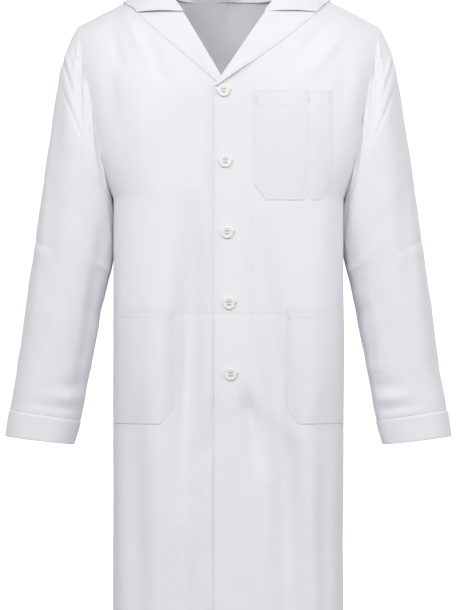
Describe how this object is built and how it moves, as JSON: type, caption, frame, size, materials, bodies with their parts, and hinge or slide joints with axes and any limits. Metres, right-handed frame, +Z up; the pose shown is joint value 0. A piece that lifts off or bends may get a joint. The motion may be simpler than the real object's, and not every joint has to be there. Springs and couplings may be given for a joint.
{
  "type": "lab coat",
  "caption": "Knee-length white lab coat in twill, with notched collar, buttoned front, patch pockets, long sleeves and a back vent, in the shape it takes when worn.",
  "frame": {"origin": "middle of the neck opening, level with the inner ends of the shoulder seams", "axes": "+Z up, the front of the coat faces -Y, +X is the wearer's left"},
  "size_m": [0.709, 0.2369, 1.0989],
  "materials": {
    "coat_cloth": "matte twill",
    "facing_cloth": "matte twill",
    "collar_cloth": "matte twill, fused lining",
    "pocket_cloth": "matte twill",
    "button_plastic": "satin",
    "thread": "matte",
    "label_cloth": "smooth tape"
  },
  "bodies": {
    "coat_body": {"right_front": "coat_cloth", "left_front_chest": "coat_cloth", "left_front_side": "coat_cloth", "back_left": "coat_cloth", "back_right": "coat_cloth", "right_front_facing": "facing_cloth", "left_chest_facing": "facing_cloth", "left_lapel": "collar_cloth", "right_lapel": "collar_cloth", "collar_leaf": "collar_cloth", "under_collar": "collar_cloth", "collar_stand": "collar_cloth", "chest_pocket": "pocket_cloth", "pen_slot_stitch": "thread", "right_hip_pocket": "pocket_cloth", "chest_pocket_bartacks": "thread", "right_pocket_bartack": "thread", "button_threads": "thread", "neck_label": "label_cloth", "button_1": "button_plastic", "button_2": "button_plastic", "button_3": "button_plastic", "button_4": "button_plastic", "button_5": "button_plastic"},
    "left_skirt": {"left_front_skirt": "coat_cloth", "left_skirt_facing": "facing_cloth", "left_hip_pocket": "pocket_cloth", "left_pocket_bartack": "thread"},
    "vent": {"vent_flap": "coat_cloth"},
    "loop": {"hang_loop": "facing_cloth"},
    "left_upper_arm": {"left_upper_sleeve": "coat_cloth"},
    "left_forearm": {"left_lower_sleeve": "coat_cloth", "left_cuff": "coat_cloth"},
    "right_upper_arm": {"right_upper_sleeve": "coat_cloth"},
    "right_forearm": {"right_lower_sleeve": "coat_cloth", "right_cuff": "coat_cloth"}
  },
  "joints": [
    {"name": "front_open", "type": "hinge", "parent": "coat_body", "child": "left_skirt", "pos_m": [0.18, -0.06, -0.7], "axis": [0, 0, 1], "range_deg": [0, 70]},
    {"name": "vent_open", "type": "hinge", "parent": "coat_body", "child": "vent", "pos_m": [0.098, 0.1075, -0.88], "axis": [0, 0, -1], "range_deg": [0, 50]},
    {"name": "loop_swing", "type": "hinge", "parent": "coat_body", "child": "loop", "pos_m": [-0.005, 0.0523, 0.0075], "axis": [-1, 0, 0], "range_deg": [0, 150]},
    {"name": "left_shoulder_raise", "type": "hinge", "parent": "coat_body", "child": "left_upper_arm", "pos_m": [0.233, -0.006, -0.068], "axis": [0, -1, 0], "range_deg": [0, 50]},
    {"name": "left_elbow_bend", "type": "hinge", "parent": "left_upper_arm", "child": "left_forearm", "pos_m": [0.2562, -0.0622, -0.48], "axis": [-1, 0, 0], "range_deg": [0, 65]},
    {"name": "right_shoulder_raise", "type": "hinge", "parent": "coat_body", "child": "right_upper_arm", "pos_m": [-0.233, -0.006, -0.068], "axis": [0, 1, 0], "range_deg": [0, 50]},
    {"name": "right_elbow_bend", "type": "hinge", "parent": "right_upper_arm", "child": "right_forearm", "pos_m": [-0.2562, -0.0622, -0.48], "axis": [-1, 0, 0], "range_deg": [0, 65]}
  ]
}
